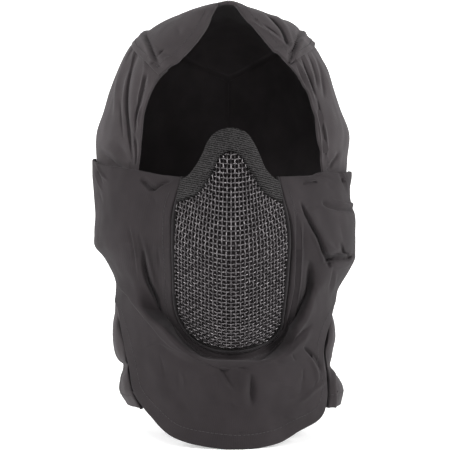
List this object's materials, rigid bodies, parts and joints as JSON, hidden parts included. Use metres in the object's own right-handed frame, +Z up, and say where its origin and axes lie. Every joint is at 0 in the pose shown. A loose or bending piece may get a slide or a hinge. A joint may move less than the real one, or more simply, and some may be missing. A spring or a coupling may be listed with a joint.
{
  "type": "mesh mask balaclava",
  "caption": "Stretch cloth hood with an open face, under a face wrap with cowl fold and bib that carries a curved woven wire mesh over nose, mouth and chin.",
  "frame": {"origin": "inside of the crown, where the top of the head seats", "axes": "+Z up along the head, the face looks to -Y, +X to the viewer's right"},
  "size_m": [0.1867, 0.2367, 0.3019],
  "materials": {
    "hood_cloth": "matte charcoal stretch knit",
    "wrap_cloth": "matte charcoal stretch knit",
    "binding_cloth": "black rolled edge",
    "mesh_steel": "black coated woven steel wire, satin",
    "pad_fabric": "black textured padded fabric"
  },
  "bodies": {
    "root": {"crown_panel": "hood_cloth", "side_panel_left": "hood_cloth", "side_panel_right": "hood_cloth", "face_wrap": "wrap_cloth", "neck_band": "wrap_cloth", "mesh_screen": "mesh_steel", "mesh_binding": "binding_cloth", "nose_pad": "pad_fabric"}
  },
  "joints": []
}
